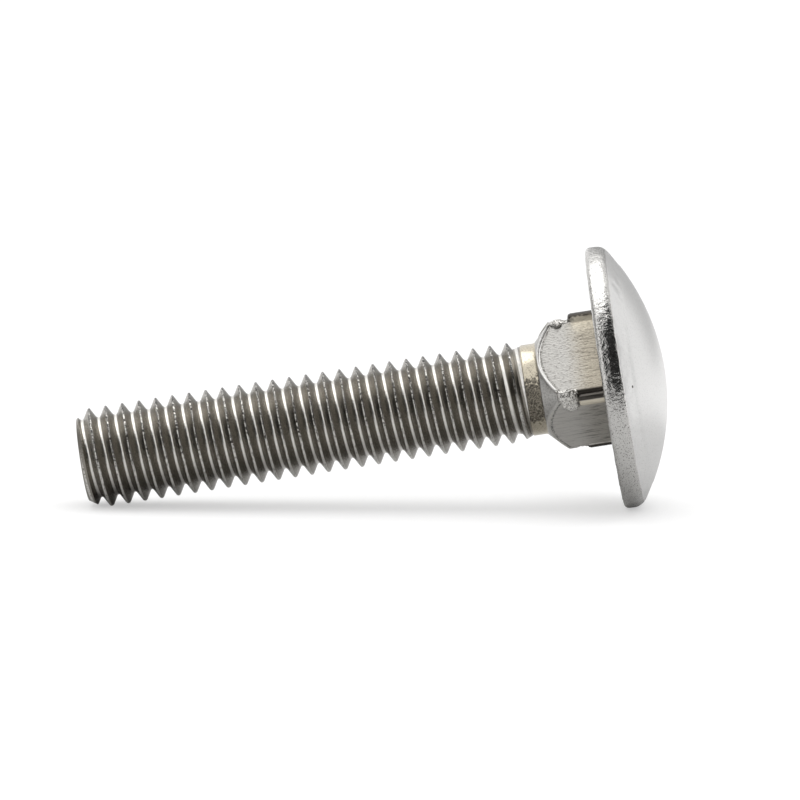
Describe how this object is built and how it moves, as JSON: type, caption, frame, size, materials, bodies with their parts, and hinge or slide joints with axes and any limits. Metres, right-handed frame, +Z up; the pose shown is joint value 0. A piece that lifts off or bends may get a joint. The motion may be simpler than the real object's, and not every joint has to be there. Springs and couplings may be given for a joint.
{
  "type": "carriage bolt",
  "caption": "Carriage bolt with a round domed head, a square neck under it, a plain collar and a rolled metric thread, lying on its side.",
  "frame": {"origin": "on the table, under the middle of the bounding box of the bolt as it lies at rest", "axes": "+X along the bolt towards its head, with the shank falling away from the head by 9.09 degrees; +Z up from the table; +Y to the left of the bolt, seen from its thread end"},
  "size_m": [0.035, 0.0156, 0.0155],
  "materials": {
    "steel": "bare stainless steel as forged and rolled: satin dome, pitted rim, brushed neck with a faint heat tint, semi-bright thread with rough crests"
  },
  "bodies": {
    "root": {"carriage_bolt": "steel"}
  },
  "joints": []
}
